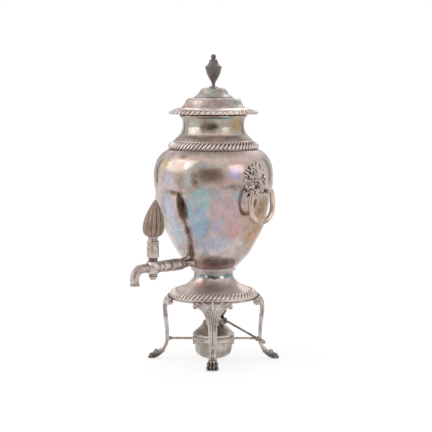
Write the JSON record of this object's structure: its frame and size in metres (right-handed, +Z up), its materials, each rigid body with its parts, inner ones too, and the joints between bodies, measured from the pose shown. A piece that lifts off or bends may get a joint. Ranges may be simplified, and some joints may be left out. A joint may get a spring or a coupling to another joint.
{
  "type": "samovar",
  "caption": "Tall silver-plated hot-water urn with a lift-off lid, plug tap, lion-mask drop handles and a spirit burner held in a stand with paw feet.",
  "frame": {"origin": "on the urn's axis at the level of the table that the paws stand on", "axes": "+Z up along the urn's axis, -Y along the tap, +X and -X through the lion masks; the legs stand on the diagonals"},
  "size_m": [0.1956, 0.2357, 0.4276],
  "materials": {
    "body_silver": "old silver plate, polished but cloudy, with bluish, lilac and amber tarnish",
    "lid_silver": "old silver plate, satin grey-brown",
    "cast_silver": "cast silver plate with dark tarnish in the hollows",
    "tap_silver": "polished silver plate, slightly brown",
    "burner_silver": "dull grey silver plate",
    "finial_dark": "dark purple-brown oxidised metal",
    "key_brown": "worn brown metal, fluted",
    "wick_cotton": "woven cotton wick, charred at the top"
  },
  "bodies": {
    "urn": {"burner_ring": "burner_silver", "collar_gadroon": "cast_silver", "foot_gadroon": "cast_silver", "foot_rim": "cast_silver", "leg_back_left": "cast_silver", "leg_back_right": "cast_silver", "leg_front_left": "cast_silver", "leg_front_right": "cast_silver", "lion_mask_left": "cast_silver", "lion_mask_right": "cast_silver", "neck": "body_silver", "neck_rim_wire": "cast_silver", "pedestal": "body_silver", "stretcher_back_left": "burner_silver", "stretcher_back_right": "burner_silver", "stretcher_front_left": "burner_silver", "stretcher_front_right": "burner_silver", "tap_barrel": "tap_silver", "tap_root": "tap_silver", "tap_spout": "tap_silver", "tap_spout_lip": "tap_silver", "tap_valve_body": "tap_silver", "vessel_body": "body_silver"},
    "lid": {"lid_dome": "lid_silver", "lid_flange": "lid_silver", "lid_bezel": "lid_silver", "finial_foot": "finial_dark", "finial_urn": "finial_dark", "finial_cap": "finial_dark", "finial_ball": "finial_dark", "finial_stud": "finial_dark", "finial_nut": "finial_dark"},
    "tap_key": {"tap_plug": "tap_silver", "tap_washer": "tap_silver", "tap_nut": "tap_silver", "key_stem": "tap_silver", "key_leaf": "key_brown"},
    "drop_handle_right": {"handle_right": "cast_silver"},
    "drop_handle_left": {"handle_left": "cast_silver"},
    "burner": {"burner_pot": "burner_silver"},
    "burner_head": {"burner_top": "burner_silver", "wick_tube": "burner_silver", "wick": "wick_cotton", "snuffer_bracket": "burner_silver", "snuffer_pin": "burner_silver"},
    "snuffer": {"snuffer_lever": "burner_silver", "snuffer_cap": "burner_silver", "snuffer_knob": "burner_silver"}
  },
  "joints": [
    {"name": "lid_lift", "type": "slide", "parent": "urn", "child": "lid", "axis": [0, 0, 1], "range_m": [0, 0.1]},
    {"name": "tap_turn", "type": "hinge", "parent": "urn", "child": "tap_key", "pos_m": [0, -0.1132, 0.1405], "axis": [0, 0, 1], "continuous": true},
    {"name": "handle_swing_right", "type": "hinge", "parent": "urn", "child": "drop_handle_right", "pos_m": [0.094, 0, 0.242], "axis": [0, -1, 0], "range_deg": [-20, 95]},
    {"name": "handle_swing_left", "type": "hinge", "parent": "urn", "child": "drop_handle_left", "pos_m": [-0.094, 0, 0.242], "axis": [0, 1, 0], "range_deg": [-20, 95]},
    {"name": "burner_lift", "type": "slide", "parent": "urn", "child": "burner", "axis": [0, 0, 1], "range_m": [0, 0.03]},
    {"name": "burner_top_lift", "type": "slide", "parent": "burner", "child": "burner_head", "axis": [0, 0, 1], "range_m": [0, 0.006]},
    {"name": "snuffer_swing", "type": "hinge", "parent": "burner_head", "child": "snuffer", "pos_m": [0.01822, 0.00321, 0.0572], "axis": [-0.1736, 0.9848, 0], "range_deg": [-50, 0]}
  ]
}
